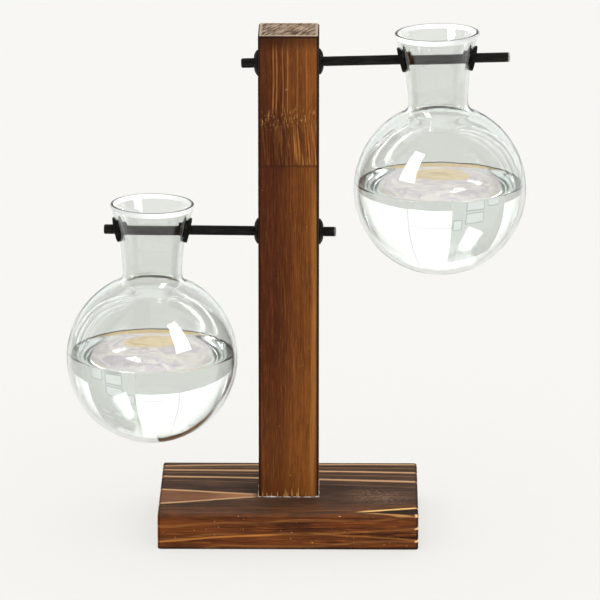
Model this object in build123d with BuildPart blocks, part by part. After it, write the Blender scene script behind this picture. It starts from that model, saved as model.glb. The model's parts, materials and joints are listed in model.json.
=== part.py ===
from build123d import *
from math import asin, cos, degrees, radians, sin, sqrt, atan2
import os

# A table stand for water plants: a post on a base board carries two rods, and on
# each rod hangs a round glass vase half full of water.
# The origin is the middle of the base's underside, under the post's axis.
# +X points to the upper vase's side, -Y to the front, +Z up.

# Driving dimensions, in millimetres and degrees.
base_width = 121
base_depth = 84
base_thickness = 17
base_edge_round = 1.2

post_side = 28
post_top = 238
post_edge_round = 1.0
post_top_chamfer = 0.8

rod_radius = 2.25
rod_end_round = 0.9
rod_stub = 22
running_clearance = 0.05

# Each rod rises a little from the post towards its vase, so that the vase stays on.
# reach is the rod's length from the post's axis to its far end, and vase_at is how far
# along the rod its vase hangs.
arms = {
    "upper": {"side": 1, "height": 222.5, "rise": 1.45, "reach": 102, "vase_at": 68.5},
    "lower": {"side": -1, "height": 142, "rise": 0.5, "reach": 86, "vase_at": 63.5},
}

bulb_radius = 40
glass_wall = 1.8
throat_radius = 13.9
shoulder_round = 5
rim_radius = 19.6
rim_height = 74.3
hole_height = 61.7
glass_hole_radius = 3.4

water_level = 2.3
water_gap = 0.3

post_grommet_radius = 6
post_grommet_edge = 0.5
post_flange = 2.0
post_flange_mouth = 3.0
dome_middle_radius = 4.7
dome_middle_height = 1.45
flange_root_depth = 1
post_hub_length = 9
post_hole_radius = 4
vase_grommet_radius = 5.9
vase_grommet_round = 0.5
vase_flange = 1.2
inner_sleeve = 2.6
inner_sleeve_radius = 3.1

glue_width = 1.7
glue_height = 1.5
glue_edge = 0.2

screw_spacing = 14
screw_length = 44
screw_recess = 0.4
screw_head_radius = 4
screw_head_rim = 0.3
screw_shank_radius = 2
screw_root_radius = 1.4
screw_thread_pitch = 2
screw_thread_length = 26
screw_tip_length = 3
screw_slot_length = 4.4
screw_slot_width = 1
screw_slot_depth = 1.6
screw_hole_clearance = 0.1

# The vase's outline, measured from the bulb's centre: the bulb's arc, a small round
# where it meets the neck, one long arc that flares the neck out to its rim, and a
# rounded lip.
throat_height = sqrt((bulb_radius + shoulder_round) ** 2 - (throat_radius + shoulder_round) ** 2)
shoulder_angle = degrees(atan2(throat_height, throat_radius + shoulder_round))
flare_rise = rim_height - glass_wall / 2 - throat_height
flare_out = rim_radius - glass_wall / 2 - throat_radius
# The flare is sized on the middle of the glass, which runs through the lip's centre.
flare_middle_radius = ((flare_out + glass_wall / 2) ** 2 + flare_rise**2) / (2 * flare_out + glass_wall)
flare_radius = flare_middle_radius - glass_wall / 2
flare_angle = degrees(asin(flare_rise / flare_middle_radius))

# The neck's outside radius and its lean at the height of the rod.
hole_rise = hole_height - throat_height
neck_radius_at_hole = throat_radius + flare_radius - sqrt(flare_radius**2 - hole_rise**2)
neck_lean_at_hole = asin(hole_rise / flare_radius)


def arm_plane(arm):
    """The upright plane through a rod: local x runs along the rod, local y points up."""
    tilt = radians(arm["side"] * arm["rise"])
    return Plane(origin=(0, 0, arm["height"]), x_dir=(cos(tilt), 0, sin(tilt)), z_dir=(0, -1, 0))


def rod_axis(arm):
    """The line down the middle of a rod."""
    plane = arm_plane(arm)
    return Axis(plane.origin, plane.x_dir)


def bulb_plane(arm):
    """The same plane with its origin at the centre of the vase's bulb."""
    plane = arm_plane(arm)
    along = arm["side"] * arm["vase_at"]
    return plane.shift_origin(plane.from_local_coords((along, -hole_height, 0)))


def rod_bore_plane(arm, along):
    """A plane across the rod, at a distance along it from the post's axis."""
    plane = arm_plane(arm)
    return Plane(origin=plane.from_local_coords((along, 0, 0)), z_dir=plane.x_dir)


def make_screw(x):
    """A countersunk wood screw that points up from under the base."""
    head_edge = screw_recess + screw_head_rim
    cone_top = head_edge + screw_head_radius - screw_shank_radius
    thread_top = screw_recess + screw_length - screw_tip_length
    thread_start = thread_top - screw_thread_length
    outline = [
        (0, screw_recess),
        (screw_head_radius, screw_recess),
        (screw_head_radius, head_edge),
        (screw_shank_radius, cone_top),
        (screw_shank_radius, thread_start),
    ]
    for turn in range(screw_thread_length // screw_thread_pitch):
        z = thread_start + turn * screw_thread_pitch
        outline.append((screw_root_radius, z + screw_thread_pitch / 4))
        outline.append((screw_root_radius, z + screw_thread_pitch / 2))
        outline.append((screw_shank_radius, z + screw_thread_pitch))
    outline.append((0, screw_recess + screw_length))
    section = Plane(origin=(x, 0, 0), x_dir=(1, 0, 0), z_dir=(0, -1, 0))
    with BuildPart() as screw:
        with BuildSketch(section):
            with BuildLine():
                Polyline(*outline, close=True)
            make_face()
        revolve(axis=Axis((x, 0, 0), (0, 0, 1)))
        with BuildSketch(Plane.XY.offset(screw_recess)):
            with Locations((x, 0)):
                Rectangle(screw_slot_length, screw_slot_width)
                Rectangle(screw_slot_width, screw_slot_length)
        extrude(amount=screw_slot_depth, mode=Mode.SUBTRACT)
    return screw.part


def make_rod(arm):
    """A round rod with rounded ends, from its stub to its far end."""
    inner_end = -arm["side"] * rod_stub
    outer_end = arm["side"] * arm["reach"]
    with BuildPart() as rod:
        with BuildSketch(rod_bore_plane(arm, inner_end)):
            Circle(rod_radius)
        extrude(amount=outer_end - inner_end)
        fillet(rod.edges().filter_by(GeomType.CIRCLE), rod_end_round)
    return rod.part


def make_vase(arm):
    """A blown glass vase: a round bulb, a flared neck and a hole for the rod."""
    plane = bulb_plane(arm)
    shoulder = (throat_radius + shoulder_round, throat_height)
    flare_centre = (throat_radius + flare_radius, throat_height)
    lip_turn = radians(180 - flare_angle)
    lip = (
        flare_centre[0] + flare_middle_radius * cos(lip_turn),
        flare_centre[1] + flare_middle_radius * sin(lip_turn),
    )
    with BuildPart() as vase:
        with BuildSketch(plane):
            with BuildLine():
                CenterArc((0, 0), bulb_radius, -90, 90 + shoulder_angle)
                CenterArc(shoulder, shoulder_round, 180 + shoulder_angle, -shoulder_angle)
                CenterArc(flare_centre, flare_radius, 180, -flare_angle)
                CenterArc(lip, glass_wall / 2, -flare_angle, 180)
                CenterArc(flare_centre, flare_radius + glass_wall, 180 - flare_angle, flare_angle)
                CenterArc(shoulder, shoulder_round + glass_wall, 180, shoulder_angle)
                CenterArc((0, 0), bulb_radius - glass_wall, shoulder_angle, -90 - shoulder_angle)
                Line((0, glass_wall - bulb_radius), (0, -bulb_radius))
            make_face()
        revolve(axis=Axis(plane.origin, plane.y_dir))
        middle = arm["side"] * arm["vase_at"]
        with BuildSketch(rod_bore_plane(arm, middle)):
            Circle(glass_hole_radius)
        extrude(amount=rim_radius + glass_wall, both=True, mode=Mode.SUBTRACT)
    return vase.part


def make_water(arm):
    """The water in a bulb: a ball cut off level, just clear of the glass."""
    centre = bulb_plane(arm).origin
    radius = bulb_radius - glass_wall - water_gap
    level_radius = sqrt(radius**2 - water_level**2)
    level_angle = degrees(asin(water_level / radius))
    section = Plane(origin=centre, x_dir=(1, 0, 0), z_dir=(0, -1, 0))
    with BuildPart() as water:
        with BuildSketch(section):
            with BuildLine():
                CenterArc((0, 0), radius, -90, 90 + level_angle)
                Polyline((level_radius, water_level), (0, water_level), (0, -radius))
            make_face()
        revolve(axis=Axis(centre, (0, 0, 1)))
    return water.part


def make_post_grommet(arm, end, post):
    """A rubber grommet: a hub in the post's hole and a domed flange outside it."""
    plane = arm_plane(arm)
    face = post_side / 2
    flange_root = face - flange_root_depth
    flange_top = face + post_flange
    bore = rod_radius + running_clearance
    with BuildPart() as grommet:
        with BuildSketch(plane):
            with Locations((end * (face - post_hub_length / 2), (bore + post_hole_radius) / 2)):
                Rectangle(post_hub_length, post_hole_radius - bore)
            with BuildLine():
                Polyline(
                    (end * flange_top, post_flange_mouth),
                    (end * flange_top, bore),
                    (end * flange_root, bore),
                    (end * flange_root, post_grommet_radius),
                    (end * (face + post_grommet_edge), post_grommet_radius),
                )
                ThreePointArc(
                    (end * (face + post_grommet_edge), post_grommet_radius),
                    (end * (face + dome_middle_height), dome_middle_radius),
                    (end * flange_top, post_flange_mouth),
                )
            make_face()
        revolve(axis=rod_axis(arm))
        add(post, mode=Mode.SUBTRACT)
    return grommet.part


def make_vase_grommet(arm, end, vase):
    """A rubber grommet: a thin flange on the leaning neck and a sleeve through its hole."""
    plane = bulb_plane(arm)
    seat = plane.from_local_coords((end * neck_radius_at_hole, hole_height, 0))
    out = plane.x_dir * (end * cos(neck_lean_at_hole)) - plane.y_dir * sin(neck_lean_at_hole)
    disc = Plane(origin=seat, z_dir=out)
    with BuildPart() as grommet:
        with BuildSketch(disc.offset(-glass_wall)):
            Circle(vase_grommet_radius)
        extrude(amount=glass_wall + vase_flange)
        fillet(grommet.faces().sort_by(Axis(seat, out))[-1].edges(), vase_grommet_round)
        with BuildSketch(disc.offset(-glass_wall - inner_sleeve)):
            Circle(inner_sleeve_radius)
        extrude(amount=inner_sleeve + glass_wall)
        add(vase, mode=Mode.SUBTRACT)
        middle = arm["side"] * arm["vase_at"]
        with BuildSketch(rod_bore_plane(arm, middle)):
            Circle(rod_radius + running_clearance)
        extrude(amount=rim_radius + glass_wall + vase_flange, both=True, mode=Mode.SUBTRACT)
    return grommet.part


def keep(part, name):
    """Label a finished piece and write it to its own file."""
    part.label = name
    export_step(part, f"parts/{name}.step")


os.makedirs("parts", exist_ok=True)

screw_places = {"left": -screw_spacing / 2, "right": screw_spacing / 2}
screw_hole_radius = screw_shank_radius + screw_hole_clearance

with BuildPart() as base_board:
    with BuildSketch(Plane.XY):
        Rectangle(base_width, base_depth)
    extrude(amount=base_thickness)
    fillet(base_board.edges(), base_edge_round)
    with Locations(Plane.XY.rotated((180, 0, 0))):
        with Locations(*[(x, 0) for x in screw_places.values()]):
            CounterSinkHole(screw_hole_radius, screw_head_radius + screw_recess + screw_head_rim)
keep(base_board.part, "base_board")

with BuildPart() as post:
    with BuildSketch(Plane.XY.offset(base_thickness)):
        Rectangle(post_side, post_side)
    extrude(amount=post_top - base_thickness)
    fillet(post.edges().filter_by(Axis.Z), post_edge_round)
    chamfer(post.faces().sort_by(Axis.Z)[-1].edges(), post_top_chamfer)
    with BuildSketch(Plane.XY.offset(base_thickness)):
        with Locations(*[(x, 0) for x in screw_places.values()]):
            Circle(screw_shank_radius)
    extrude(amount=screw_recess + screw_length - base_thickness, mode=Mode.SUBTRACT)
    for arm in arms.values():
        with BuildSketch(rod_bore_plane(arm, 0)):
            Circle(post_hole_radius)
        extrude(amount=post_side, both=True, mode=Mode.SUBTRACT)
keep(post.part, "post")

with BuildPart() as foot_glue_bead:
    with BuildSketch(Plane.XY.offset(base_thickness)):
        RectangleRounded(post_side + 2 * glue_width, post_side + 2 * glue_width, glue_width + post_edge_round)
    extrude(amount=glue_height)
    chamfer(foot_glue_bead.faces().sort_by(Axis.Z)[-1].edges(), glue_height - glue_edge)
    with BuildSketch(Plane.XY.offset(base_thickness)):
        RectangleRounded(post_side, post_side, post_edge_round)
    extrude(amount=glue_height, mode=Mode.SUBTRACT)
keep(foot_glue_bead.part, "foot_glue_bead")

for place, x in screw_places.items():
    keep(make_screw(x), f"base_screw_{place}")

ends = {"left": -1, "right": 1}
for arm_name, arm in arms.items():
    vase_part = make_vase(arm)
    keep(make_rod(arm), f"{arm_name}_rod")
    keep(vase_part, f"{arm_name}_vase")
    keep(make_water(arm), f"{arm_name}_water")
    for end_name, end in ends.items():
        keep(make_post_grommet(arm, end, post.part), f"{arm_name}_post_grommet_{end_name}")
        keep(make_vase_grommet(arm, end, vase_part), f"{arm_name}_vase_grommet_{end_name}")
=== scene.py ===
"""The looks of the bulb vase stand: charred and stained pine, black rods and rubber
grommets, blown glass vases and the water in them. Lengths are in metres, and the
materials measure places in millimetres."""

import json
import math
from types import SimpleNamespace

import bpy
import bmesh
from mathutils import Matrix, Vector, noise


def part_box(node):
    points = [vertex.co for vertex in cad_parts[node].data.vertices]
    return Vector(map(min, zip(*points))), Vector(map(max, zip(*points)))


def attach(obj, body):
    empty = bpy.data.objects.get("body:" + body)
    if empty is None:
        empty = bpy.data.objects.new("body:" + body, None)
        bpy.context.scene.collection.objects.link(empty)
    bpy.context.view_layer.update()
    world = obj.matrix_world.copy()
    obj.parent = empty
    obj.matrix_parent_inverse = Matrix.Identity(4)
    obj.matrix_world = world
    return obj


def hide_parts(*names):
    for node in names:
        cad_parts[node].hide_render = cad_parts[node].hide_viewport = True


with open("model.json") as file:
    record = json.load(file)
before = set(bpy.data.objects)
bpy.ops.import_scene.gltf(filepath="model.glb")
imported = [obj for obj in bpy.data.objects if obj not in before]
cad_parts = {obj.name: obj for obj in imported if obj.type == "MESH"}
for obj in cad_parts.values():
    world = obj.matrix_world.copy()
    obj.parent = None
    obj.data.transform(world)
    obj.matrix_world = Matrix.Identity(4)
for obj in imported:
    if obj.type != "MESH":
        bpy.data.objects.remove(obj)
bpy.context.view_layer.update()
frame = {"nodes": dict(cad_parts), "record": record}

MM = 0.001
ARMS = ("upper", "lower")

# ---- sizes that the frame doesn't give

GLASS_WALL = 1.8 * MM
THROAT_RADIUS = 13.9 * MM
SHOULDER_ROUND = 5 * MM
RIM_RADIUS = 19.6 * MM
HOLE_RADIUS = 3.4 * MM
GLASS_TURNS = 168
GLASS_WAVES = 0.05 * MM
RIM_ABOVE_HOLE = 12.6 * MM
LIP_DEPTH = 2.4 * MM
LIP_LINE = 0.22 * MM
WATER_GAP = 0.1 * MM
MENISCUS_RISE = 1.3 * MM
MENISCUS_REACH = 1.4 * MM


def joint(name):
    """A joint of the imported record, by name."""
    return next(j for j in frame["record"]["behaviour"]["joints"] if j["name"] == name)


def low(node):
    return Vector(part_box(node)[0])


def high(node):
    return Vector(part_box(node)[1])


# ---- fields: numbers that vary over a surface, written as ordinary sums


class Field:
    """A number that varies over a surface, built from math nodes."""

    def __init__(self, tree, socket):
        self.tree = tree
        self.socket = socket

    def math(self, operation, *others, clamp=False):
        node = self.tree.nodes.new("ShaderNodeMath")
        node.operation = operation
        node.use_clamp = clamp
        for value, entry in zip((self, *others), node.inputs):
            feed(self.tree, value, entry)
        return Field(self.tree, node.outputs[0])

    def __add__(self, other):
        return self.math("ADD", other)

    def __sub__(self, other):
        return self.math("SUBTRACT", other)

    def __mul__(self, other):
        return self.math("MULTIPLY", other)

    def abs(self):
        return self.math("ABSOLUTE")

    def clamp(self):
        return self.math("ADD", 0.0, clamp=True)

    def rise(self, start, end):
        """0 below start, 1 above end and a smooth step between; start may be the larger."""
        node = self.tree.nodes.new("ShaderNodeMapRange")
        node.interpolation_type = "SMOOTHSTEP"
        for value, entry in zip((self, start, end), node.inputs):
            feed(self.tree, value, entry)
        return Field(self.tree, node.outputs[0])

    def near(self, middle, reach):
        """1 at middle, falling smoothly to 0 at reach from it."""
        return (self - middle).abs().rise(reach, 0.0)


def feed(tree, value, entry):
    """Sets a socket to a number or a colour, or links a field or a socket to it."""
    if isinstance(value, Field):
        value = value.socket
    if isinstance(value, bpy.types.NodeSocket):
        tree.links.new(value, entry)
    elif isinstance(value, tuple) and len(value) == 3 and entry.type == "RGBA":
        entry.default_value = (*value, 1.0)
    else:
        entry.default_value = value


def place(tree):
    """The surface point's x, y and z in millimetres, in the stand's own frame."""
    where = tree.nodes.new("ShaderNodeTexCoord")
    split = tree.nodes.new("ShaderNodeSeparateXYZ")
    tree.links.new(where.outputs["Object"], split.inputs[0])
    return [Field(tree, output) * (1 / MM) for output in split.outputs]


def noise_of(tree, x, y, z, size=1.0, detail=2.0, rough=0.5, twist=0.0):
    """Smooth noise from 0 to 1 whose lumps are about size millimetres, stretched by
    whatever x, y and z are scaled by."""
    join = tree.nodes.new("ShaderNodeCombineXYZ")
    for value, entry in zip((x, y, z), join.inputs):
        feed(tree, value, entry)
    cloud = tree.nodes.new("ShaderNodeTexNoise")
    cloud.inputs["Scale"].default_value = 1.0 / size
    cloud.inputs["Detail"].default_value = detail
    cloud.inputs["Roughness"].default_value = rough
    cloud.inputs["Distortion"].default_value = twist
    tree.links.new(join.outputs[0], cloud.inputs["Vector"])
    return Field(tree, cloud.outputs["Fac"])


def blend(tree, first, second, share):
    """A colour that goes from first to second as share goes from 0 to 1."""
    mix = tree.nodes.new("ShaderNodeMix")
    mix.data_type = "RGBA"
    feed(tree, share, mix.inputs["Factor"])
    feed(tree, first, mix.inputs["A"])
    feed(tree, second, mix.inputs["B"])
    return mix.outputs["Result"]


def new_material(name):
    """An empty material with one Principled shader."""
    material = bpy.data.materials.new(name)
    material.use_nodes = True
    tree = material.node_tree
    tree.nodes.clear()
    shader = tree.nodes.new("ShaderNodeBsdfPrincipled")
    output = tree.nodes.new("ShaderNodeOutputMaterial")
    tree.links.new(shader.outputs[0], output.inputs["Surface"])
    return material, tree, shader


def bump(tree, shader, height, strength, depth):
    """Adds relief of a given depth, in millimetres, from a height field."""
    node = tree.nodes.new("ShaderNodeBump")
    node.inputs["Strength"].default_value = strength
    node.inputs["Distance"].default_value = depth * MM
    feed(tree, height, node.inputs["Height"])
    tree.links.new(node.outputs[0], shader.inputs["Normal"])


def dress(node, material):
    """Gives a CAD node a material in every slot."""
    for slot in frame["nodes"][node].material_slots:
        slot.material = material


# ---- wood


def tone(red, green, blue):
    """A colour given as it looks on a screen, from 0 to 255."""
    return tuple(((part / 255 + 0.055) / 1.055) ** 2.4 for part in (red, green, blue))


CHAR = tone(30, 20, 15)
WOOD_GLOSS = 0.06
WOOD_RELIEF = 0.7
RING_WIDTH = 5.4
PITH_Y = -15.0
PITH_Z = -60.0


def line(across, middle, half_width):
    """A soft line: 1 where across is middle, 0 half_width from it."""
    return (across - middle).abs().rise(half_width, half_width * 0.3)


def most(first, *others):
    """The largest of some fields."""
    for other in others:
        first = first.math("MAXIMUM", other)
    return first


def board_rings(tree, x, y, z):
    """Where a point lies in the board's growth rings, from 0 to 1 in each ring. The
    pith runs along the board, below it."""
    wander = noise_of(tree, x * 0.02, y * 0.05, z * 0.05, 1.0, 2) - 0.5
    across = y - PITH_Y + x * 0.05
    down = z - PITH_Z - x * 0.03
    radius = (across * across + down * down).math("SQRT") + wander * 7.0
    return (radius * (1 / RING_WIDTH)).math("FRACT")


def base_fields(tree):
    """The fields that the base's colour and relief share."""
    x, y, z = place(tree)
    top = high("base_board").z / MM
    front = low("base_board").y / MM
    back = high("base_board").y / MM
    end = high("base_board").x / MM

    wander = noise_of(tree, x * 0.025, y * 0.12, z * 0.12, 1.0, 3) - 0.5
    broad = noise_of(tree, x * 0.018, y * 0.16, z * 0.25, 1.0, 3, 0.55)
    fine = noise_of(tree, x * 0.045, y * 0.9, z * 1.2, 1.0, 4, 0.62)
    fibre = noise_of(tree, x * 0.12, y * 1.9, z * 2.2, 1.0, 4, 0.65)
    patch = noise_of(tree, x * 0.06, y * 0.1, z * 0.12, 1.0, 3, 0.6)
    ring = board_rings(tree, x, y, z)
    ring_line = line(ring, 0.5, 0.16)

    on_top = z.rise(top - 1.5, top - 0.3)
    on_front = y.rise(front + 1.3, front + 0.3)
    on_end = x.abs().rise(end - 0.6, end - 0.2)
    on_back = y.rise(back - 1.3, back - 0.3)
    streak = (fine * 0.6 + broad * 0.35 + fibre * 0.6 - 0.3).clamp()
    face = most(on_front, on_back * 0.8, on_end * 0.6) * (on_top * -0.85 + 1.0)
    band = (broad * 0.7 + fine * 0.5 + fibre * 0.5 + patch * 0.2 - 0.46).clamp()
    shown = (face + z.rise(1.0, 0.2)).clamp() * (on_top * -1.0 + 1.0)
    bent = y + wander * 1.6
    return SimpleNamespace(
        x=x, y=y, z=z, back=back, end=end, front=front, wander=wander, broad=broad, fine=fine,
        fibre=fibre, patch=patch, ring=ring, ring_line=ring_line, streak=streak, on_top=on_top,
        on_front=on_front, on_end=on_end, on_back=on_back, face=face, band=band, shown=shown, bent=bent,
    )


def base_ground(tree, at):
    """From char to brown, with long streaks and a redder front."""
    colour = blend(tree, tone(46, 32, 24), tone(104, 74, 54), at.streak.rise(0.28, 0.68))
    red = at.y.rise(-14.0, at.front) * (at.patch.rise(0.30, 0.60) * 0.7 + at.x.rise(5.0, 45.0) * 0.6).clamp()
    colour = blend(tree, colour, tone(116, 66, 34), red * at.streak.rise(0.2, 0.6))
    colour = blend(tree, colour, tone(48, 38, 33), (at.patch.rise(0.62, 0.45) * at.on_top) * 0.25)
    return colour


def base_sides(tree, at, colour):
    """The front, ends and back are browner, in bands, and growth rings stand out on them
    and underneath."""
    warm = blend(tree, tone(56, 29, 16), tone(100, 53, 25), at.band.rise(0.25, 0.62))
    warm = blend(tree, warm, tone(142, 80, 34), at.band.rise(0.58, 0.85) * at.fibre.rise(0.3, 0.6))
    warm = blend(tree, warm, tone(150, 84, 36), at.fine.rise(0.54, 0.62) * at.fibre.rise(0.45, 0.6) * 0.7)
    warm = blend(tree, warm, CHAR, at.fine.rise(0.46, 0.38) * at.fibre.rise(0.55, 0.4) * 0.6)
    colour = blend(tree, colour, warm, at.face)
    glow = at.on_front * at.x.rise(-15.0, -52.0) * at.z.rise(4.0, 9.0) * at.z.rise(15.5, 12.0)
    colour = blend(tree, colour, tone(118, 64, 27), glow * at.band.rise(0.2, 0.55) * 0.6)

    strength = at.on_end * 0.55 + 0.25
    strength = strength * at.ring_line * at.shown
    colour = blend(tree, colour, tone(176, 118, 66), strength * at.fine.rise(0.2, 0.55))
    return colour


def base_top_rings(tree, at, colour):
    """A pale wedge on the left, between two rings that meet at the post, and pale rings
    across the top."""
    left = at.x.rise(-13.5, -18.0)
    upper_side = at.y + at.wander * 2.2 - (at.x * -0.16 - 11.9)
    lower_side = at.y + at.wander * 2.2 - (at.x * 0.235 - 10.2)
    inside = upper_side.rise(0.5, -0.5) * lower_side.rise(-0.5, 0.5) * left * at.on_top
    fill = blend(tree, tone(108, 70, 48), tone(150, 100, 68), at.streak.rise(0.2, 0.7))
    fill = blend(tree, fill, tone(196, 138, 88), at.x.rise(-42.0, -18.0) * 0.7)
    colour = blend(tree, colour, fill, inside * 0.9)

    # Each ring has a middle, a slope, a bend, a half width and a strength.
    rings = (
        (38.3, 0.027, -0.00033, 1.6, 0.75),
        (28.0, -0.033, -0.00018, 1.7, 0.9),
        (15.4, -0.068, -0.00024, 1.9, 0.9),
        (33.4, -0.01, -0.00025, 0.8, 0.25),
        (22.5, -0.05, -0.0002, 0.8, 0.22),
        (8.0, -0.09, -0.0003, 0.8, 0.16),
    )
    pale = most(*(
        line(at.bent - (at.x * slope + at.x * at.x * bend), middle, half) * amount
        for middle, slope, bend, half, amount in rings
    ))
    wedge_edges = most(line(upper_side, 0.0, 1.7), line(lower_side, 0.0, 1.6)) * left * 0.95
    pale = most(pale, wedge_edges) * at.on_top * (at.fibre.rise(0.15, 0.5) * 0.3 + 0.7)
    colour = blend(tree, colour, tone(205, 160, 116), pale)
    return colour, pale


def base_top_marks(tree, at, colour):
    """Smaller marks on the top."""
    # Faint reddish rings towards the front.
    front_rings = most(
        line(at.bent - at.x * 0.02, -31.0, 1.3) * at.x.rise(20.0, -10.0) * 0.35,
        line(at.bent - at.x * 0.05, -36.0, 1.2) * at.x.rise(-5.0, 12.0) * at.x.rise(34.0, 24.0) * 0.6,
        line(at.bent + at.x * 0.01, -38.5, 1.0) * at.x.rise(-10.0, -30.0) * 0.4,
    )
    colour = blend(tree, colour, tone(150, 92, 54), front_rings * at.on_top * at.fibre.rise(0.2, 0.6))

    # A bright split near the front right, with a fainter one under it.
    bright = line(at.y - at.x * 0.228, -44.4, 1.5) * at.x.rise(30.0, 38.0)
    faint = line(at.y + at.x * 0.16, -33.2, 1.0) * at.x.rise(34.0, 42.0) * 0.85
    colour = blend(tree, colour, tone(244, 196, 118), bright * at.on_top)
    colour = blend(tree, colour, tone(196, 140, 84), faint * at.on_top)
    gap = (at.y - at.x * 0.228).rise(-45.6, -46.6) * (at.y + at.x * 0.16).rise(-32.4, -31.4)
    gap = gap * at.x.rise(38.0, 46.0)
    colour = blend(tree, colour, CHAR, gap * at.on_top * 0.8)

    # Scuffs on the right of the top.
    rubbed = at.x.near(43.0, 19.0) * at.y.near(-13.0, 17.0) * at.on_top
    scratch = noise_of(tree, at.x * 0.5 + at.y * 0.25, at.y * 0.8, at.z, 1.0, 5, 0.8)
    colour = blend(tree, colour, tone(150, 118, 92), rubbed * at.patch.rise(0.25, 0.6) * 0.25)
    colour = blend(tree, colour, tone(206, 172, 138), rubbed * scratch.rise(0.55, 0.61) * 0.85)
    return colour


def base_front_marks(tree, at, colour):
    """Pale rings and grains of bare wood on the front."""
    # A pale ring climbs to the right across the front, and another falls from its end.
    climb = line(at.z + at.wander * 1.4 - (at.x * 0.028 - at.x * at.x * 0.00062), 7.6, 0.6)
    climb = climb * at.x.rise(6.0, -16.0)
    fall = line(at.z + at.wander * 1.6 + at.x * 0.07, 9.0, 0.6) * at.x.rise(8.0, 16.0) * 0.4
    colour = blend(tree, colour, tone(196, 126, 58), (most(climb, fall) * at.on_front) * 0.7)

    # Grains of bare wood.
    grains = noise_of(tree, at.x * 0.75, at.y * 0.9, at.z * 0.95, 1.0, 1, 0.5)
    crowd = at.x.near(18.0, 34.0) * at.z.near(5.5, 6.0) * at.on_front * 0.035
    speck = (grains + crowd).rise(0.755, 0.79)
    colour = blend(tree, colour, tone(226, 178, 108), speck * (at.on_front * 0.55 + 0.35))
    return colour, speck


def base_edges(tree, at, colour):
    """Pale ends of rings on the right corner, and burnt edges."""
    corner = at.x.abs().rise(at.end - 2.2, at.end - 0.9) * at.y.abs().rise(at.back - 2.2, at.back - 0.9)
    side = most(at.x.abs().rise(at.end - 1.5, at.end - 0.4) * (at.on_end * -1.0 + 1.0), at.on_back * 0.5)
    colour = blend(tree, colour, CHAR, side * 0.75)
    colour = blend(tree, colour, tone(236, 190, 130), corner * line(at.ring, 0.5, 0.12) * at.x.rise(0.0, 1.0))
    colour = blend(tree, colour, CHAR, at.z.rise(1.9, 0.5) * 0.85)
    colour = blend(tree, colour, CHAR, at.y.rise(at.back - 1.8, at.back - 0.7) * at.on_top)
    return colour


def finish_wood(tree, shader, colour, roughness, relief, depth):
    """Feeds a wood's colour, roughness and relief to its shader."""
    feed(tree, colour, shader.inputs["Base Color"])
    feed(tree, roughness, shader.inputs["Roughness"])
    shader.inputs["Specular IOR Level"].default_value = WOOD_GLOSS
    bump(tree, shader, relief, WOOD_RELIEF, depth)


def base_wood():
    """Charred and brushed pine with its grain along X: nearly black on top with thin pale
    rings, orange brown in front, and growth rings on its ends."""
    material, tree, shader = new_material("charred_pine")
    at = base_fields(tree)
    colour = base_ground(tree, at)
    colour = base_sides(tree, at, colour)
    colour, pale = base_top_rings(tree, at, colour)
    colour = base_top_marks(tree, at, colour)
    colour, speck = base_front_marks(tree, at, colour)
    colour = base_edges(tree, at, colour)
    relief = at.fine * 0.55 + at.fibre * 0.35 + pale * 0.5 + at.ring_line * at.shown * 0.35 + speck * 0.4
    finish_wood(tree, shader, colour, at.fine * 0.25 + 0.42, relief, 0.6)
    return material


def post_fields(tree):
    """The fields that the post's colour and relief share."""
    x, y, z = place(tree)
    side = high("post").x / MM
    top = high("post").z / MM
    foot = low("post").z / MM
    torn_top = top - 38.0
    torn_foot = top - 61.5

    sway = noise_of(tree, x * 0.05, y * 0.05, z * 0.012, 1.0, 2) - 0.5
    along = x + sway * 5.0
    deep = y + sway * 5.0
    broad = noise_of(tree, along * 0.22, deep * 0.22, z * 0.010, 1.0, 3, 0.5)
    fine = noise_of(tree, along * 1.5, deep * 1.5, z * 0.030, 1.0, 4, 0.68)
    fibre = noise_of(tree, along * 2.2, deep * 2.2, z * 0.14, 1.0, 4, 0.7)
    mottle = noise_of(tree, x * 0.7, y * 0.7, z * 0.35, 1.0, 4, 0.7)
    return SimpleNamespace(
        x=x, y=y, z=z, side=side, top=top, foot=foot, torn_top=torn_top, torn_foot=torn_foot,
        along=along, broad=broad, fine=fine, fibre=fibre, mottle=mottle,
    )


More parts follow.
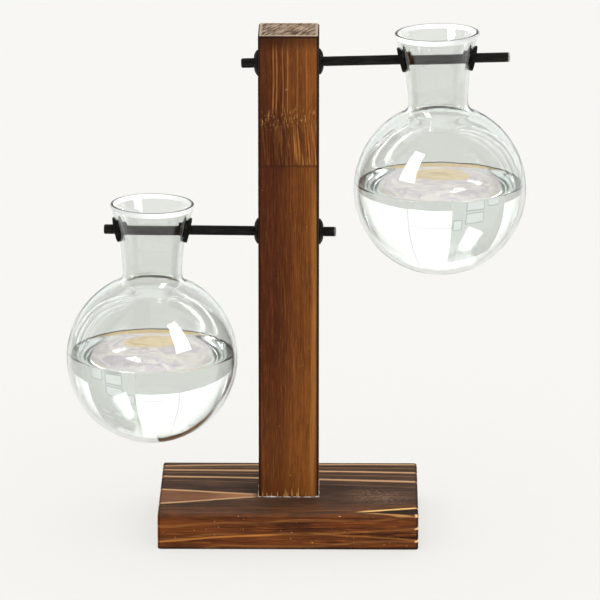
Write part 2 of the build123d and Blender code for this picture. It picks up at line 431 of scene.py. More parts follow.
def post_ground(tree, at):
    """Dark red brown on the left to golden brown on the right, with golden and pale rings. The lightening to
    the right is partly the wood's golden tone and partly painted light from the right, and the darker left is
    partly painted shade.
    """
    # Painted light: the front gets lighter to the right, as if lit from the right, mixed with the wood's own
    # golden tone.
    gold_and_painted_light = (at.x + (at.broad - 0.5) * 14.0).rise(-9.0, 17.0)
    gold_and_painted_light = gold_and_painted_light * 0.85 + at.z.rise(95.0, 25.0) * 0.34 + at.z.rise(at.top - 40.0, at.top - 10.0) * 0.08
    # Painted shade: a darker patch on the left, part way up.
    painted_shade_left = at.z.near(at.top - 52.0, 16.0) * at.x.rise(5.0, -9.0) * 0.55
    gold_and_painted_light = (gold_and_painted_light - painted_shade_left).clamp()
    colour = blend(tree, tone(72, 34, 16), tone(128, 74, 31), gold_and_painted_light)
    colour = blend(tree, colour, tone(50, 24, 12), at.fine.rise(0.50, 0.36) * 0.35)
    colour = blend(tree, colour, tone(150, 88, 38), at.fine.rise(0.50, 0.66) * (gold_and_painted_light * 0.4 + 0.12))
    colour = blend(tree, colour, tone(160, 102, 50), at.fibre.rise(0.52, 0.64) * (gold_and_painted_light * 0.25 + 0.1))
    colour = blend(tree, colour, tone(52, 26, 13), at.fibre.rise(0.48, 0.34) * 0.25)
    colour = blend(tree, colour, tone(110, 50, 24), at.mottle.rise(0.56, 0.70) * 0.3)

    # A golden ring runs up near the right edge.
    golden = line(at.along, 11.6, 1.6) * at.z.rise(at.torn_foot + 4.0, at.torn_foot - 26.0)
    colour = blend(tree, colour, tone(176, 122, 56), golden * (at.fine * 0.5 + 0.1))

    # Pale rings from the top down to the torn band.
    over = at.z.rise(at.torn_top - 2.0, at.torn_top + 6.0) * at.z.rise(at.top - 2.0, at.top - 10.0)
    rings = most(
        line(at.along, -7.4, 0.5) * 0.65,
        line(at.along, -6.0, 0.45) * 0.6,
        line(at.along, -3.2, 0.4) * 0.55,
        line(at.along, -1.0, 0.5) * 0.6,
        line(at.along, 3.6, 0.5) * 0.3,
        line(at.along, 8.4, 0.5) * 0.35,
    )
    colour = blend(tree, colour, tone(186, 122, 62), rings * over * (at.fibre.rise(0.2, 0.6) * 0.6 + 0.2))
    return colour


def post_torn_band(tree, at, colour):
    """Flecks along the band's top, brush marks below them, and a step at its foot."""
    ragged = noise_of(tree, at.x * 0.22, at.y * 0.22, 0.0, 1.0, 2) * 8.0 - 4.0
    tear = noise_of(tree, at.x * 1.9, at.y * 1.9, at.z * 0.42, 1.0, 4, 0.7)
    flecks = (at.z + ragged).near(at.torn_top - 1.0, 7.0) * tear.rise(0.56, 0.62)
    slant = noise_of(tree, at.x * 1.3 + at.z * 0.10, at.y * 1.3, at.z * 0.05, 1.0, 4, 0.65)
    brushed = at.z.rise(at.torn_foot, at.torn_foot + 1.0) * at.z.rise(at.torn_top + 2.0, at.torn_top - 6.0)
    marks = brushed * slant.rise(0.50, 0.66) * (at.x.rise(-6.0, 6.0) * 0.75 + 0.15)
    colour = blend(tree, colour, tone(44, 24, 14), brushed * slant.rise(0.50, 0.36) * 0.45)
    colour = blend(tree, colour, tone(190, 128, 66), marks * 0.75)
    step = line(at.z + ragged * 0.15, at.torn_foot, 0.9)
    colour = blend(tree, colour, tone(52, 28, 16), step * 0.45)
    return colour, flecks


def post_bare_wood(tree, at, colour, flecks):
    """Splinters stand up from the foot, and grains of bare wood show here and there."""
    splinter_height = noise_of(tree, at.x * 0.85, at.y * 0.85, 0.0, 1.0, 2, 0.6).rise(0.48, 0.72) * 7.0
    splinters = (splinter_height - (at.z - at.foot)).rise(0.0, 1.5) * at.fibre.rise(0.25, 0.5)
    stray = noise_of(tree, at.x * 1.1, at.y * 1.1, at.z * 0.6, 1.0, 1, 0.5).rise(0.80, 0.83)
    bare = most(flecks * 0.5, splinters * 0.9, stray * 0.6)
    colour = blend(tree, colour, tone(216, 162, 96), bare)
    return colour, bare


def post_edges(tree, at, colour):
    """Burnt upright edges, and a dark band under the top."""
    edge = at.x.abs().rise(at.side - 1.5, at.side - 0.5) * at.y.abs().rise(at.side - 1.5, at.side - 0.5)
    colour = blend(tree, colour, CHAR, edge * 0.95)
    colour = blend(tree, colour, CHAR, at.z.rise(at.top - 8.0, at.top - 1.5) * 0.5)
    colour = blend(tree, colour, CHAR, at.z.rise(at.foot + 1.2, at.foot + 0.2) * 0.35)
    return colour


def post_sawn_top(tree, at, colour):
    """Greyish tan, with slanting saw marks and paler, worn edges."""
    on_top = at.z.rise(at.top - 0.4, at.top - 0.1)
    saw = noise_of(tree, (at.x - at.y * 0.45) * 0.8, (at.y + at.x * 0.45) * 0.09, at.z, 1.0, 4, 0.62)
    grit = noise_of(tree, at.x, at.y, at.z, 0.7, 3, 0.7)
    cuts = (saw * 0.8 + grit * 0.3 - 0.05).rise(0.40, 0.62)
    sawn = blend(tree, tone(70, 54, 42), tone(176, 152, 128), cuts)
    rim = most(at.x.abs(), at.y.abs()).rise(at.side - 2.2, at.side - 1.1)
    sawn = blend(tree, sawn, tone(198, 180, 158), rim * 0.6)
    colour = blend(tree, colour, sawn, on_top)
    under_rim = at.z.rise(at.top - 1.5, at.top - 0.8) * at.z.rise(at.top - 0.35, at.top - 0.6)
    colour = blend(tree, colour, CHAR, under_rim * 0.8)
    return colour, on_top, saw + grit


def post_wood():
    """Stained pine with its grain up the post: dark red brown on the left, golden on the right, partly as
    painted light from the right, burnt at the edges, torn in a band near the top, and sawn across on top."""
    material, tree, shader = new_material("stained_pine")
    at = post_fields(tree)
    colour = post_ground(tree, at)
    colour, flecks = post_torn_band(tree, at, colour)
    colour, bare = post_bare_wood(tree, at, colour, flecks)
    colour = post_edges(tree, at, colour)
    colour, on_top, marks = post_sawn_top(tree, at, colour)
    roughness = at.fine * 0.25 + on_top * 0.3 + 0.40
    relief = at.fine * 0.5 + at.fibre * 0.45 + bare * 0.6 + marks * on_top * 0.5
    finish_wood(tree, shader, colour, roughness, relief, 0.5)
    return material


# ---- metal, rubber, glue


BLACK_GLOSS = 0.12


def rod_paint(name, worn):
    """Black enamel with faint dull patches, more or less worn to bare metal at the cut
    right end."""
    material, tree, shader = new_material(name)
    x, y, z = place(tree)
    cut_end = high(name).x / MM
    wear = noise_of(tree, x * 0.12, y * 0.8, z * 0.8, 1.0, 4, 0.65)
    speck = noise_of(tree, x * 0.9, y * 1.4, z * 1.4, 1.0, 2, 0.5).rise(0.66, 0.76)
    colour = blend(tree, tone(12, 12, 10), tone(34, 33, 29), wear.rise(0.35, 0.75))
    colour = blend(tree, colour, tone(84, 80, 74), speck * 0.35)
    bare = (x + wear * 0.8).rise(cut_end - 0.7, cut_end) * worn
    colour = blend(tree, colour, tone(190, 186, 180), bare)
    feed(tree, colour, shader.inputs["Base Color"])
    feed(tree, bare * 0.7, shader.inputs["Metallic"])
    feed(tree, wear * 0.3 + 0.25, shader.inputs["Roughness"])
    shader.inputs["Specular IOR Level"].default_value = BLACK_GLOSS
    bump(tree, shader, wear, 0.25, 0.2)
    return material


def black_rubber():
    """Moulded black rubber with a fine dull grain."""
    material, tree, shader = new_material("black_rubber")
    x, y, z = place(tree)
    grain = noise_of(tree, x, y, z, 0.25, 3, 0.6)
    dust = noise_of(tree, x, y, z, 2.5, 3, 0.6).rise(0.5, 0.8)
    colour = blend(tree, tone(9, 9, 8), tone(30, 29, 27), dust)
    feed(tree, colour, shader.inputs["Base Color"])
    feed(tree, grain * 0.2 + 0.45, shader.inputs["Roughness"])
    shader.inputs["Specular IOR Level"].default_value = BLACK_GLOSS
    bump(tree, shader, grain, 0.3, 0.08)
    return material


def screw_steel():
    """Zinc plated steel with turning marks."""
    material, tree, shader = new_material("zinc_plated_steel")
    x, y, z = place(tree)
    marks = noise_of(tree, x, y, z * 8.0, 0.8, 3, 0.6)
    colour = blend(tree, (0.42, 0.39, 0.30), (0.66, 0.62, 0.52), marks)
    feed(tree, colour, shader.inputs["Base Color"])
    shader.inputs["Metallic"].default_value = 1.0
    feed(tree, marks * 0.2 + 0.25, shader.inputs["Roughness"])
    bump(tree, shader, marks, 0.2, 0.05)
    return material


def dried_glue():
    """Dried glue: milky, a little yellow and lumpy."""
    material, tree, shader = new_material("dried_glue")
    x, y, z = place(tree)
    lumps = noise_of(tree, x, y, z, 2.2, 4, 0.65)
    colour = blend(tree, tone(92, 74, 62), tone(196, 190, 182), lumps.rise(0.38, 0.60))
    feed(tree, colour, shader.inputs["Base Color"])
    feed(tree, lumps * 0.3 + 0.3, shader.inputs["Roughness"])
    bump(tree, shader, lumps, 0.5, 0.3)
    return material


# ---- glass and water


def clear_glass():
    """Thin blown glass with a faint grey green tint and a gently uneven surface."""
    material, tree, shader = new_material("blown_glass")
    x, y, z = place(tree)
    shader.inputs["Base Color"].default_value = (0.84, 0.862, 0.845, 1.0)
    shader.inputs["Roughness"].default_value = 0.0
    shader.inputs["IOR"].default_value = 1.5
    shader.inputs["Transmission Weight"].default_value = 1.0
    waves = noise_of(tree, x, y, z * 0.6, 14.0, 2, 0.4)
    bump(tree, shader, waves, 0.25, 0.5)
    return material


def milky_lip_painted_light():
    """The sides of the fire-polished lip: a milky white that stands in for the light the clear lip gathers,
    as painted light.
    """
    material, tree, shader = new_material("milky_lip_painted_light")
    x, y, z = place(tree)
    # Painted light: half diffuse white in place of the light carried along the glass.
    shader.inputs["Base Color"].default_value = (0.96, 0.97, 0.965, 1.0)
    shader.inputs["Roughness"].default_value = 0.1
    shader.inputs["IOR"].default_value = 1.5
    shader.inputs["Transmission Weight"].default_value = 0.5
    waves = noise_of(tree, x, y, z, 5.0, 2, 0.4)
    bump(tree, shader, waves, 0.3, 0.4)
    return material


def crest_painted_shade():
    """The crest of the lip: a grey tint paints the thin dark line that thick glass shows, as painted shade.
    """
    material, tree, shader = new_material("crest_painted_shade")
    x, y, z = place(tree)
    # Painted shade: the grey tint stands in for the dark line at the lip's crest.
    shader.inputs["Base Color"].default_value = (0.28, 0.27, 0.24, 1.0)
    shader.inputs["Roughness"].default_value = 0.05
    shader.inputs["IOR"].default_value = 1.5
    shader.inputs["Transmission Weight"].default_value = 0.9
    waves = noise_of(tree, x, y, z, 5.0, 2, 0.4)
    bump(tree, shader, waves, 0.3, 0.4)
    return material


def clear_water():
    """Still water."""
    material, tree, shader = new_material("still_water")
    x, y, z = place(tree)
    shader.inputs["Base Color"].default_value = (0.985, 0.99, 0.99, 1.0)
    shader.inputs["Roughness"].default_value = 0.0
    shader.inputs["IOR"].default_value = 1.333
    shader.inputs["Transmission Weight"].default_value = 1.0
    ripples = noise_of(tree, x, y, z, 9.0, 2, 0.5)
    bump(tree, shader, ripples, 0.12, 0.4)
    return material


def arc(centre, radius, start, sweep, steps):
    """Points of an arc, angles in radians, both ends included."""
    angles = [start + sweep * i / steps for i in range(steps + 1)]
    return [(centre[0] + radius * math.cos(a), centre[1] + radius * math.sin(a)) for a in angles]


def joined(*runs):
    """Point runs in a row, each without the point where the last one ended."""
    points = list(runs[0])
    for run in runs[1:]:
        points.extend(run[1:])
    return points


def turned(name, outline, axis_origin, across, up, wobble=None):
    """A solid turned from an outline whose two ends lie on the axis, or a closed ring if
    they don't. The outline is (radius, height) points."""
    deep = across.cross(up)
    mesh = bmesh.new()
    rings = []
    for radius, height in outline:
        ring = []
        if radius < 1e-7:
            ring.append(mesh.verts.new(axis_origin + up * height))
        else:
            for i in range(GLASS_TURNS):
                turn = 2 * math.pi * i / GLASS_TURNS
                out = across * math.cos(turn) + deep * math.sin(turn)
                spot = axis_origin + out * radius + up * height
                if wobble:
                    spot = spot + wobble(spot, radius, height)
                ring.append(mesh.verts.new(spot))
        rings.append(ring)
    for first, second in zip(rings, rings[1:]):
        for i in range(GLASS_TURNS):
            j = (i + 1) % GLASS_TURNS
            corners = [
                first[i % len(first)], first[j % len(first)],
                second[j % len(second)], second[i % len(second)],
            ]
            unique = list(dict.fromkeys(corners))
            if len(unique) > 2:
                mesh.faces.new(unique)
    bmesh.ops.recalc_face_normals(mesh, faces=mesh.faces)
    for face in mesh.faces:
        face.smooth = True
    return as_object(name, mesh)


def as_object(name, mesh):
    data = bpy.data.meshes.new(name)
    mesh.to_mesh(data)
    mesh.free()
    piece = bpy.data.objects.new(name, data)
    bpy.context.scene.collection.objects.link(piece)
    return piece


def vase_outline(bulb_radius, rim_height):
    """The vase's outline: bulb, shoulder, flared neck and a rounded lip, outside then in."""
    reach = bulb_radius + SHOULDER_ROUND
    throat_height = math.sqrt(reach**2 - (THROAT_RADIUS + SHOULDER_ROUND) ** 2)
    shoulder = (THROAT_RADIUS + SHOULDER_ROUND, throat_height)
    turn = math.atan2(throat_height, shoulder[0])
    rise = rim_height - GLASS_WALL / 2 - throat_height
    out = RIM_RADIUS - GLASS_WALL - THROAT_RADIUS + GLASS_WALL / 2
    middle = ((out + GLASS_WALL / 2) ** 2 + rise**2) / (2 * out + GLASS_WALL)
    flare = middle - GLASS_WALL / 2
    lean = math.asin(rise / middle)
    flare_centre = (THROAT_RADIUS + flare, throat_height)
    lip = (flare_centre[0] - middle * math.cos(lean), flare_centre[1] + middle * math.sin(lean))
    inner = bulb_radius - GLASS_WALL
    half = math.pi / 2
    return joined(
        arc((0, 0), bulb_radius, -half, half + turn, 64),
        arc(shoulder, SHOULDER_ROUND, math.pi + turn, -turn, 8),
        arc(flare_centre, flare, math.pi, -lean, 22),
        arc(lip, GLASS_WALL / 2, -lean, math.pi, 10),
        arc(flare_centre, flare + GLASS_WALL, math.pi - lean, lean, 22),
        arc(shoulder, SHOULDER_ROUND + GLASS_WALL, math.pi, turn, 8),
        arc((0, 0), inner, turn, -half - turn, 64),
    )


def bulb_frame(arm):
    """A bulb's centre, the direction of its rod, and the vase's own up."""
    level = joint(f"{arm}_water_level")
    along = Vector(level["axis"]).normalized()
    return Vector(level["pos_m"]), along, Vector((-along.z, 0, along.x))


def make_vase(arm, glass, lip, crest):
    """One blown vase in place of its CAD node, drilled for its grommets."""
    centre, along, up = bulb_frame(arm)
    bulb_radius = (high(f"{arm}_vase").y - low(f"{arm}_vase").y) / 2
    hole_height = (Vector(joint(f"{arm}_vase_swing")["pos_m"]) - centre).length
    rim_height = hole_height + RIM_ABOVE_HOLE
    outline = vase_outline(bulb_radius, rim_height)
    # The axis points are exact zeros so that each pole is one vertex.
    outline[0] = (0.0, outline[0][1])
    outline[-1] = (0.0, outline[-1][1])
    seed = Vector((3.1, 0, 0)) if arm == "upper" else Vector((0, 7.7, 0))

    def uneven(spot, radius, height):
        """The inside of blown glass is a little uneven, more so near the bottom."""
        inside = math.hypot(radius, height) < bulb_radius - GLASS_WALL / 2
        if not inside or height > hole_height - HOLE_RADIUS * 2:
            return Vector()
        lump = noise.noise((spot - centre) * 45 + seed)
        return (spot - centre).normalized() * lump * GLASS_WAVES

    vase = turned(f"{arm}_glass_vase", outline, centre, along, up, uneven)
    cut_hole(vase, centre + up * hole_height, along)
    for material in (glass, lip, crest):
        vase.data.materials.append(material)
    # The lip's sides take the milky painted light, and its crest takes the painted dark line.
    for face in vase.data.polygons:
        height = (face.center - centre).dot(up)
        if height > rim_height - LIP_DEPTH:
            face.material_index = 2 if height > rim_height - LIP_LINE else 1
    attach(vase, f"{arm}_vase")
    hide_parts(f"{arm}_vase")
    return vase


def cut_hole(vase, middle, along):
    """Drills both walls of the neck along the rod."""
    drill = bmesh.new()
    turn = along.to_track_quat("Z", "Y").to_matrix().to_4x4()
    bmesh.ops.create_cone(
        drill, cap_ends=True, segments=64, radius1=HOLE_RADIUS, radius2=HOLE_RADIUS,
        depth=4 * RIM_RADIUS, matrix=Matrix.Translation(middle) @ turn,
    )
    tool = as_object("drill", drill)
    cut = vase.modifiers.new("hole", "BOOLEAN")
    cut.operation = "DIFFERENCE"
    cut.solver = "EXACT"
    cut.object = tool
    seen = vase.evaluated_get(bpy.context.evaluated_depsgraph_get())
    drilled = bpy.data.meshes.new_from_object(seen)
    vase.modifiers.clear()
    vase.data = drilled
    bpy.data.objects.remove(tool)


def make_water(arm, water):
    """The water in a bulb, a hair's breadth from the glass. Its surface climbs the glass
    a little."""
    centre = bulb_frame(arm)[0]
    level = high(f"{arm}_water").z - centre.z
    ball = (high(f"{arm}_vase").y - low(f"{arm}_vase").y) / 2 - GLASS_WALL - WATER_GAP
    edge = math.sqrt(ball**2 - level**2)
    surface = []
    steps = 40
    for i in range(steps + 1):
        # Points crowd towards the glass, where the surface curves.
        radius = edge * (1 - (1 - i / steps) ** 2)
        climb = MENISCUS_RISE * math.exp((radius - edge) / MENISCUS_REACH)
        surface.append((radius, level + climb))
    rim_angle = math.asin(surface[-1][1] / ball)
    skin = arc((0, 0), ball, rim_angle, -math.pi / 2 - rim_angle, 72)
    outline = joined(surface, skin)
    outline[0] = (0.0, level)
    outline[-1] = (0.0, -ball)
    piece = turned(f"{arm}_still_water", outline, centre, Vector((1, 0, 0)), Vector((0, 0, 1)))
    piece.data.materials.append(water)
    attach(piece, f"{arm}_water")
    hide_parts(f"{arm}_water")
    return piece


# ---- glue

GLUE_CORNER = 1.0 * MM
GLUE_LEAST = 0.15 * MM
GLUE_SWELL = 1.3 * MM


def make_glue():
    """A squeezed-out bead of glue round the post's foot, uneven along its length."""
    ground = high("base_board").z
    half = high("post").x
    corner = GLUE_CORNER
    straight = half - corner
    mesh = bmesh.new()
    steps_side = 60
    steps_corner = 6
    path = []
    for quarter in range(4):
        turn = Matrix.Rotation(quarter * math.pi / 2, 3, "Z")
        for i in range(steps_side):
            spot = Vector((half, -straight + 2 * straight * i / steps_side, 0))
            path.append((turn @ spot, turn @ Vector((1, 0, 0))))
        for i in range(steps_corner):
            angle = math.pi / 2 * i / steps_corner
            out = Vector((math.cos(angle), math.sin(angle), 0))
            path.append((turn @ (Vector((straight, straight, 0)) + out * corner), turn @ out))
    rings = []
    section = 8
    for spot, out in path:
        lump = 0.5 + 0.5 * noise.noise(spot * 260 + Vector((0, 0, 4)))
        wave = 0.5 + 0.5 * noise.noise(spot * 70)
        size = GLUE_LEAST + GLUE_SWELL * lump * wave
        ring = [mesh.verts.new(spot - out * 0.15 * MM + Vector((0, 0, ground - 0.15 * MM)))]
        for i in range(section + 1):
            angle = math.pi / 2 * i / section
            side = out * (size * math.cos(angle)) + Vector((0, 0, size * math.sin(angle)))
            ring.append(mesh.verts.new(spot + side - out * 0.1 * MM + Vector((0, 0, ground - 0.1 * MM))))
        rings.append(ring)
    for first, second in zip(rings, rings[1:] + rings[:1]):
        for i in range(len(first)):
            j = (i + 1) % len(first)
            mesh.faces.new((first[i], second[i], second[j], first[j]))
    bmesh.ops.recalc_face_normals(mesh, faces=mesh.faces)
    for face in mesh.faces:
        face.smooth = True
    glue = as_object("glue_bead", mesh)
    glue.data.materials.append(dried_glue())
    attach(glue, "stand")
    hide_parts("foot_glue_bead")


# ---- stage

# Azimuths are in degrees, 0 at the front and growing to the right.
FLOOR_COLOUR = (0.25, 0.2478, 0.2387, 1.0)
FLOOR_RADIUS = 1.3
FLOOR_GAP = 0.1 * MM
FLOOR_LIGHT = 8.0
DAYLIGHT = (1.2, 1.2, 1.2)
BACKDROP = (0.939, 0.93, 0.896)
DIM_ROOM = (0.4, 0.4, 0.4)
DOORWAY = (0.25, 0.26, 0.25)
SKYLIGHT = (2.6, 2.6, 2.6)
WALL = (1.03, 1.07, 1.03)
WINDOW = (2.0, 2.0, 2.0)
WINDOW_BAR = (1.15, 1.13, 1.15)
STREAK_LIGHT = (6.0, 6.0, 6.0)
STREAK_DARK = (0.55, 0.57, 0.55)
GREY_CARD = (0.97, 0.98, 0.94)
CARD_SQUARES = (
    (50, 140, 7), (23, 131, 16), (23, 110, 16), (-16, 106, 16),
    (-44, 60, 7), (-17, 51, 16), (-17, 30, 16), (22, 26, 16),
)
CARD_SQUARE_HALF = 9.0
SQUARE_EDGE = (0.62, 0.64, 0.62)
SQUARE_FILL = (1.1, 1.12, 1.1)
CARD_DISTANCE = 0.30
CARD_INSET = 0.0115
CARD_BELOW = 0.07
CARD_ABOVE = 0.09
TAN_MAT = ((0.76, 0.47, 0.15), (1.10, 0.78, 0.38))
PINK_MAT = ((0.76, 0.62, 0.74), (1.16, 1.0, 0.92))
TAN_START = {"upper": 86.3, "lower": 85.3}
MAT_DROP = 0.078
MAT_WIDTH = 0.10
MAT_FRONT = 0.060
MAT_BACK = 0.135
LAMP_DISTANCE = 1.2
LAMP_AZIMUTH = 48
LAMP_LOW = 18
LAMP_HIGH = 57
LAMP_WIDTH = 0.49
LAMP_POWER = 28
KEY_POWER = 6
FILL_POWER = 2.5
LENS = 341.126
SENSOR = 36
VIEW_FROM = (0.031914, -2.557328, 0.806732)
VIEW_DOWN = 15.264
VIEW_TURN = 0.599


def make_camera():
    data = bpy.data.cameras.new("camera")
    data.lens = LENS
    data.sensor_width = SENSOR
    data.clip_end = 50
    camera = bpy.data.objects.new("camera", data)
    camera.location = VIEW_FROM
    camera.rotation_euler = (math.radians(90 - VIEW_DOWN), 0, math.radians(VIEW_TURN))
    bpy.context.scene.collection.objects.link(camera)
    bpy.context.scene.camera = camera


def make_floor():
    """A wide pale floor, seen only from above."""
    mesh = bmesh.new()
    bmesh.ops.create_circle(mesh, cap_ends=True, segments=96, radius=FLOOR_RADIUS)
    floor = as_object("floor", mesh)
    floor.location.z = -FLOOR_GAP
    material, tree, shader = new_material("pale_floor")
    shader.inputs["Base Color"].default_value = FLOOR_COLOUR
    shader.inputs["Roughness"].default_value = 0.9
    shader.inputs["Specular IOR Level"].default_value = 0.0
    below = tree.nodes.new("ShaderNodeNewGeometry").outputs["Backfacing"]
    clear = tree.nodes.new("ShaderNodeBsdfTransparent")
    mix = tree.nodes.new("ShaderNodeMixShader")
    output = next(node for node in tree.nodes if node.type == "OUTPUT_MATERIAL")
    tree.links.new(below, mix.inputs[0])
    tree.links.new(shader.outputs[0], mix.inputs[1])
    tree.links.new(clear.outputs[0], mix.inputs[2])
    tree.links.new(mix.outputs[0], output.inputs["Surface"])
    floor.data.materials.append(material)
    light_floor(floor)


def ray(tree, name):
    """A field that tells what kind of ray meets the stage, from the Light Path node."""
    return Field(tree, tree.nodes.new("ShaderNodeLightPath").outputs[name])


def through_water(tree):
    """1 for a ray that came through the water. Looking through glass alone crosses four
    surfaces, and through the water at least six."""
    return ray(tree, "Transmission Depth").rise(5.4, 5.6)


def make_world():
    """A soft bright room with tall windows behind, and curtains at the sides whose
    folds show as streaks in the glass. Plain daylight falls on everything else, and
    surfaces reflect a dimmer room."""
    world = bpy.data.worlds.new("studio")
    bpy.context.scene.world = world
    world.use_nodes = True
    tree = world.node_tree
    tree.nodes.clear()
    where = tree.nodes.new("ShaderNodeTexCoord")
    split = tree.nodes.new("ShaderNodeSeparateXYZ")
    tree.links.new(where.outputs["Generated"], split.inputs[0])
    x, y, z = [Field(tree, output) for output in split.outputs]
    turn = x.math("ARCTAN2", y * -1.0) * (180 / math.pi)
    lift = z.math("ARCSINE") * (180 / math.pi)
    side = turn.abs()
    watery = through_water(tree)
    window = side.rise(109, 111) * lift.rise(52, 50) * (watery * 0.7 + 0.3)
    colour = blend(tree, WALL, WINDOW, window)
    cross_bars = lift.math("PINGPONG", 5.0).near(0.0, 0.5) * side.rise(167, 168)
    bars = side.near(168, 0.8).math("MAXIMUM", cross_bars)
    colour = blend(tree, colour, WINDOW_BAR, bars * window)
    colour = blend(tree, colour, SKYLIGHT, lift.rise(52, 57) * watery)
    colour = blend(tree, colour, DOORWAY, side.near(84, 8) * lift.rise(60, 50))
    outside = ray(tree, "Is Glossy Ray") * ray(tree, "Transmission Depth").rise(0.6, 0.4)
    colour = blend(tree, colour, DIM_ROOM, outside)
    sway = noise_of(tree, turn, lift * 0.4, 0.0, 20.0, 2) * 9.0
    folds = (turn + sway).math("PINGPONG", 5.5)
    curtain = (side.near(122, 30) * lift.rise(-4, 4) * lift.rise(75, 55)).rise(0.0, 0.5)
    colour = blend(tree, colour, STREAK_DARK, curtain * folds.rise(3.0, 5.0))
    colour = blend(tree, colour, STREAK_LIGHT, curtain * folds.rise(0.9, 0.5))
    colour = blend(tree, colour, DAYLIGHT, ray(tree, "Diffuse Depth").rise(0.4, 0.6))
    colour = blend(tree, colour, BACKDROP, ray(tree, "Is Camera Ray"))
    back = tree.nodes.new("ShaderNodeBackground")
    output = tree.nodes.new("ShaderNodeOutputWorld")
    feed(tree, colour, back.inputs["Color"])
    tree.links.new(back.outputs[0], output.inputs["Surface"])


def make_card(name, corners, paint):
    """A card that only shows through the water. paint(tree) gives its colour."""
    mesh = bmesh.new()
    mesh.faces.new([mesh.verts.new(corner) for corner in corners])
    card = as_object(name, mesh)
    material = bpy.data.materials.new(name)
    material.use_nodes = True
    tree = material.node_tree
    tree.nodes.clear()
    glow = tree.nodes.new("ShaderNodeEmission")
    output = tree.nodes.new("ShaderNodeOutputMaterial")
    feed(tree, paint(tree), glow.inputs["Color"])
    clear = tree.nodes.new("ShaderNodeBsdfTransparent")
    mix = tree.nodes.new("ShaderNodeMixShader")
    feed(tree, through_water(tree), mix.inputs[0])
    tree.links.new(clear.outputs[0], mix.inputs[1])
    tree.links.new(glow.outputs[0], mix.inputs[2])
    tree.links.new(mix.outputs[0], output.inputs["Surface"])
    card.data.materials.append(material)
    card.visible_camera = False
    card.visible_diffuse = False
    card.visible_glossy = False
    card.visible_shadow = False


def paint_grey_card(tree):
    """Grey, with a few pale outlined squares that show just under the water's edge."""
    x, _, z = place(tree)
    colour = GREY_CARD
    for middle_x, middle_z, half_x in CARD_SQUARES:
        reach = most((x - middle_x).abs() - half_x, (z - middle_z).abs() - CARD_SQUARE_HALF)
        colour = blend(tree, colour, SQUARE_FILL, reach.rise(-0.6, -1.4))
        colour = blend(tree, colour, SQUARE_EDGE, line(reach, -0.8, 1.1))
    return colour


def make_cards():
    """A grey card stands behind the post, and a mat lies behind each vase."""
    centres = [bulb_frame(arm)[0] for arm in ARMS]
    right, left = (centre.x for centre in centres)
    bottom = min(centre.z for centre in centres) - CARD_BELOW
    top = max(centre.z for centre in centres) + CARD_ABOVE
    corners = [
        (left + CARD_INSET, CARD_DISTANCE, bottom),
        (right - CARD_INSET, CARD_DISTANCE, bottom),
        (right - CARD_INSET, CARD_DISTANCE, top),
        (left + CARD_INSET, CARD_DISTANCE, top),
    ]
    make_card("grey_card", corners, paint_grey_card)
    for arm, centre in zip(ARMS, centres):
        make_mat(arm, centre)


def make_mat(arm, centre):
    """A mat that the water's surface shows: tan wood behind, and pink stone before it."""
    height = centre.z - MAT_DROP

    def paint(tree):
        x, y, z = place(tree)
        grain = noise_of(tree, x * 0.1, y * 1.0, z, 1.0, 3, 0.6, 0.4)
        marble = noise_of(tree, x * 0.4, y * 0.8, z, 1.0, 3, 0.6, 1.0)
        tan = blend(tree, *TAN_MAT, grain.rise(0.4, 0.6))
        pink = blend(tree, *PINK_MAT, marble.rise(0.4, 0.6))
        return blend(tree, pink, tan, y.rise(TAN_START[arm] - 0.4, TAN_START[arm] + 0.4))

    corners = [
        (centre.x - MAT_WIDTH / 2, MAT_FRONT, height),
        (centre.x + MAT_WIDTH / 2, MAT_FRONT, height),
        (centre.x + MAT_WIDTH / 2, MAT_BACK, height),
        (centre.x - MAT_WIDTH / 2, MAT_BACK, height),
    ]
    make_card(f"{arm}_mat", corners, paint)


def add_area(name, location, target, size, power, colour, pieces, seen_in_glass):
    """A rectangular lamp that lights only the given pieces."""
    data = bpy.data.lights.new(name, "AREA")
    data.shape = "RECTANGLE"
    data.size, data.size_y = size
    data.energy = power
    data.color = colour
    light = bpy.data.objects.new(name, data)
    light.location = location
    aim = Vector(target) - Vector(location)
    light.rotation_euler = aim.to_track_quat("-Z", "Y").to_euler()
    light.visible_glossy = seen_in_glass
    light.visible_transmission = seen_in_glass
    light.visible_camera = False
    bpy.context.scene.collection.objects.link(light)
    group = bpy.data.collections.new(f"{name}_lit")
    for piece in pieces:
        group.objects.link(piece)
    light.light_linking.receiver_collection = group
    return data


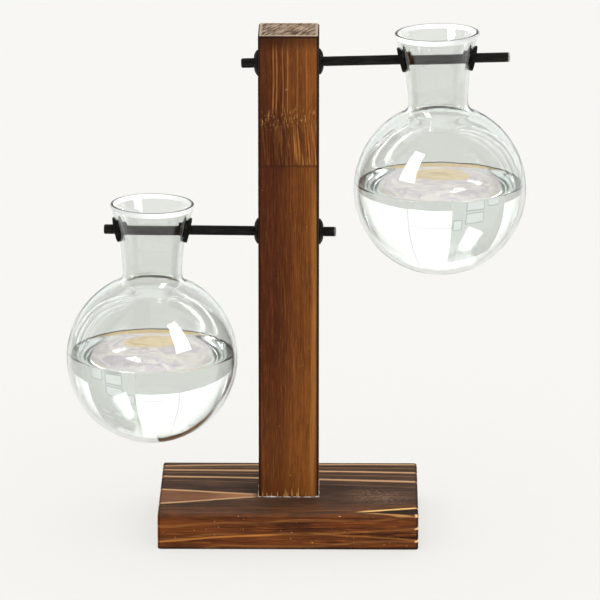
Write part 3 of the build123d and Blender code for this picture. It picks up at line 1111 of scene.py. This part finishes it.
def add_vase_lamp(arm, side, pieces):
    """A tall upright window of light to one side of the camera, for one vase."""
    centre = bulb_frame(arm)[0]
    turn = math.radians(LAMP_AZIMUTH * side)
    low_edge = LAMP_DISTANCE * math.tan(math.radians(LAMP_LOW))
    high_edge = LAMP_DISTANCE * math.tan(math.radians(LAMP_HIGH))
    away = Vector((math.sin(turn), -math.cos(turn), 0)) * LAMP_DISTANCE
    middle = centre + away + Vector((0, 0, (low_edge + high_edge) / 2))
    level = Vector((centre.x, centre.y, middle.z))
    size = (LAMP_WIDTH, high_edge - low_edge)
    lamp = add_area(f"{arm}_window", middle, level, size, LAMP_POWER, (1, 1, 1), pieces, True)
    # The glass shows this lamp, but doesn't throw its light on anything else.
    lamp.use_nodes = True
    glow = lamp.node_tree.nodes["Emission"]
    direct = ray(lamp.node_tree, "Diffuse Depth").rise(0.6, 0.4)
    feed(lamp.node_tree, direct, glow.inputs["Strength"])


def light_floor(floor):
    """A shadowless lamp for the floor alone, which keeps the shadows on it faint."""
    data = bpy.data.lights.new("floor_light", "SUN")
    data.energy = FLOOR_LIGHT
    data.use_shadow = False
    light = bpy.data.objects.new("floor_light", data)
    bpy.context.scene.collection.objects.link(light)
    group = bpy.data.collections.new("floor_lit")
    group.objects.link(floor)
    light.light_linking.receiver_collection = group


def make_lights(solids):
    """Soft lamps for everything but the glass, the water and the floor."""
    middle = (0, 0, 0.1)
    add_area("key", (0.9, -1.5, 1.5), middle, (1.0, 1.0), KEY_POWER, (1.0, 0.96, 0.90), solids, False)
    add_area("fill", (-1.4, -1.0, 0.8), middle, (1.2, 1.2), FILL_POWER, (0.95, 0.98, 1.0), solids, False)


def main():
    bpy.context.scene.view_settings.view_transform = "Standard"
    make_camera()
    make_floor()
    make_world()
    make_cards()
    glass = clear_glass()
    lip = milky_lip_painted_light()
    crest = crest_painted_shade()
    water = clear_water()
    for arm, side in (("upper", -1), ("lower", 1)):
        vase = make_vase(arm, glass, lip, crest)
        pool = make_water(arm, water)
        for piece in (vase, pool):
            piece.visible_shadow = False
        add_vase_lamp(arm, side, [vase, pool])
    make_glue()
    dress("base_board", base_wood())
    dress("post", post_wood())
    dress("upper_rod", rod_paint("upper_rod", 1.0))
    dress("lower_rod", rod_paint("lower_rod", 0.55))
    rubber = black_rubber()
    for node in frame["nodes"]:
        if "grommet" in node:
            dress(node, rubber)
    steel = screw_steel()
    dress("base_screw_left", steel)
    dress("base_screw_right", steel)
    clear = ("upper_vase", "lower_vase", "upper_water", "lower_water", "foot_glue_bead")
    solids = [piece for node, piece in frame["nodes"].items() if node not in clear]
    make_lights(solids + [bpy.data.objects["glue_bead"]])


main()
